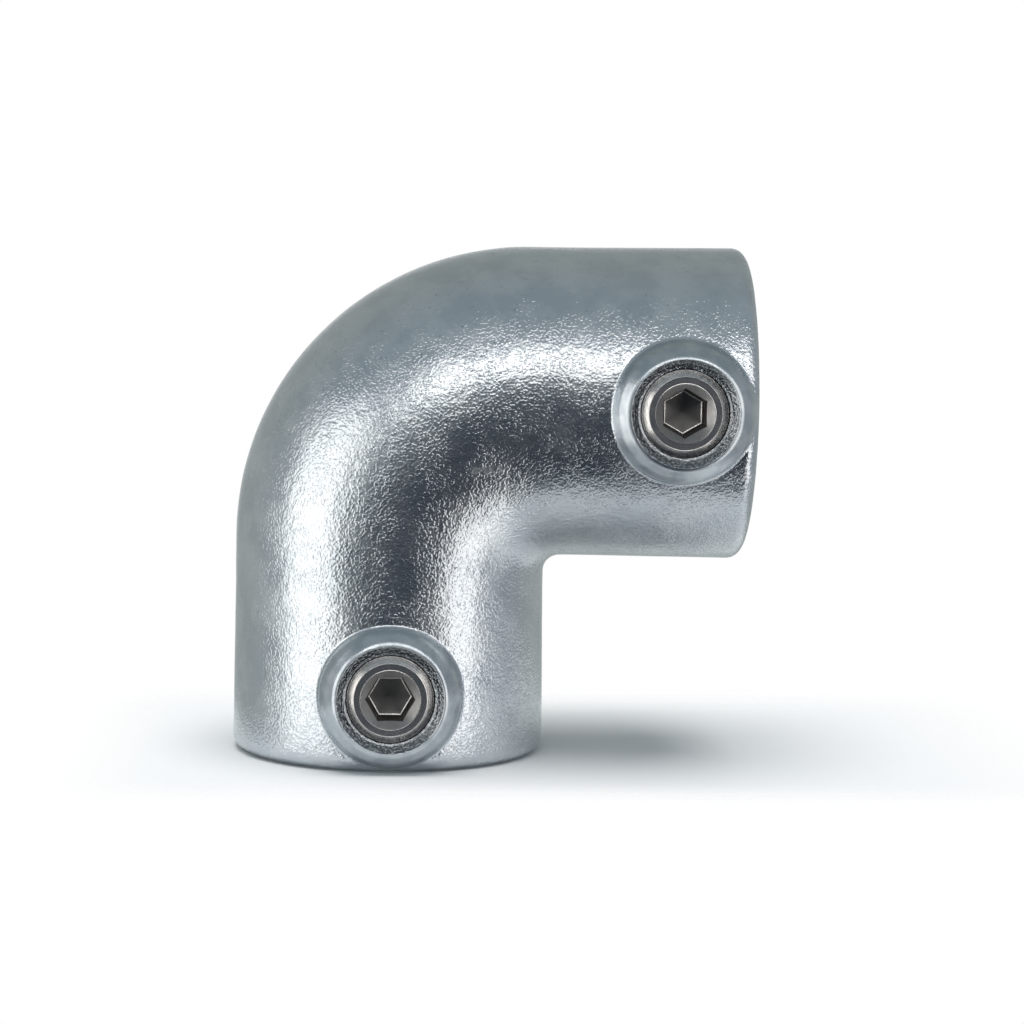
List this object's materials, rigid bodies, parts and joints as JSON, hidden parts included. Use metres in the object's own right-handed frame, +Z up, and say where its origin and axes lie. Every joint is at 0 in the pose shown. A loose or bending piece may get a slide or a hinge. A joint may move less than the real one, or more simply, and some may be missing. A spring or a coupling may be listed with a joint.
{
  "type": "elbow key clamp",
  "caption": "Galvanised cast elbow that joins two round tubes at a right angle; each socket has a raised boss with a hexagon-socket set screw that clamps the tube.",
  "frame": {"origin": "middle of the vertical socket's mouth, on the end face that the elbow stands on", "axes": "+Z up the vertical socket, +X out of the horizontal socket, the set screws facing -Y"},
  "size_m": [0.0995, 0.0642, 0.0995],
  "materials": {
    "casting": "hot-dip galvanised, pebbled cast grain",
    "screw_steel": "turned, bare"
  },
  "bodies": {
    "casting": {"elbow": "casting"},
    "vertical_screw": {"vertical_screw": "screw_steel"},
    "horizontal_screw": {"horizontal_screw": "screw_steel"}
  },
  "joints": [
    {"name": "vertical_screw_drive", "type": "slide", "parent": "casting", "child": "vertical_screw", "axis": [0, -1, 0], "range_m": [-0.00055, 0.003]},
    {"name": "horizontal_screw_drive", "type": "slide", "parent": "casting", "child": "horizontal_screw", "axis": [0, -1, 0], "range_m": [-0.00055, 0.003]}
  ]
}
